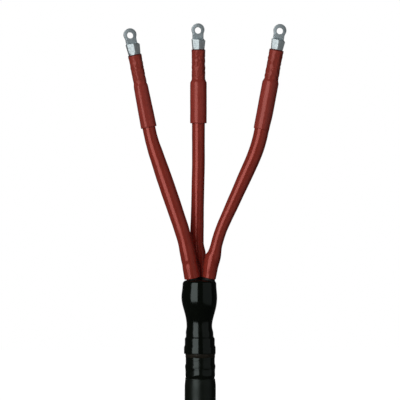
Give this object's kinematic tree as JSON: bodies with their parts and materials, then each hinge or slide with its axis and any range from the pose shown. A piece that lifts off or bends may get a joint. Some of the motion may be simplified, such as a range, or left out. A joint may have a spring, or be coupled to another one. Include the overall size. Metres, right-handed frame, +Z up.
{
  "type": "cable termination",
  "caption": "Heat-shrink termination of an armoured power cable: black breakout boot, spreading cores in red tubes, and palm lugs sealed by thick red sleeves.",
  "frame": {"origin": "middle of the cable's cut end, on the cable axis", "axes": "+Z up the cable axis towards the lugs, +X to the right seen from the front, -Y the front that the palms face"},
  "size_m": [0.3267, 0.0778, 0.7848],
  "materials": {
    "black_sheath": "satin extruded sheath",
    "armour_steel": "galvanised wire",
    "black_bedding": "matt extruded",
    "pale_filler": "matt",
    "black_tape": "glossy stretched tape",
    "boot_black": "glossy heat-shrink",
    "grey_mastic": "soft mastic",
    "copper": "drawn copper strands",
    "natural_insulation": "smooth",
    "black_screen": "matt",
    "copper_tape": "bright tape",
    "stress_black": "matt",
    "red_tube": "glossy heat-shrink",
    "red_mastic": "soft mastic",
    "red_sleeve": "satin heat-shrink",
    "tinned_metal": "dull tinned"
  },
  "bodies": {
    "root": {"oversheath": "black_sheath", "armour_wires": "armour_steel", "bedding": "black_bedding", "core_filler": "pale_filler", "binding_tape": "black_tape", "breakout_boot": "boot_black", "boot_mastic": "grey_mastic", "conductor_left": "copper", "conductor_centre": "copper", "conductor_right": "copper", "insulation_left": "natural_insulation", "insulation_centre": "natural_insulation", "insulation_right": "natural_insulation", "core_screen_left": "black_screen", "core_screen_centre": "black_screen", "core_screen_right": "black_screen", "copper_tape_left": "copper_tape", "copper_tape_centre": "copper_tape", "copper_tape_right": "copper_tape", "stress_tube_left": "stress_black", "stress_tube_centre": "stress_black", "stress_tube_right": "stress_black", "red_tube_left": "red_tube", "red_tube_centre": "red_tube", "red_tube_right": "red_tube", "lug_mastic_left": "red_mastic", "lug_mastic_centre": "red_mastic", "lug_mastic_right": "red_mastic", "lug_sleeve_left": "red_sleeve", "lug_sleeve_centre": "red_sleeve", "lug_sleeve_right": "red_sleeve", "lug_left": "tinned_metal", "lug_centre": "tinned_metal", "lug_right": "tinned_metal"}
  },
  "joints": []
}
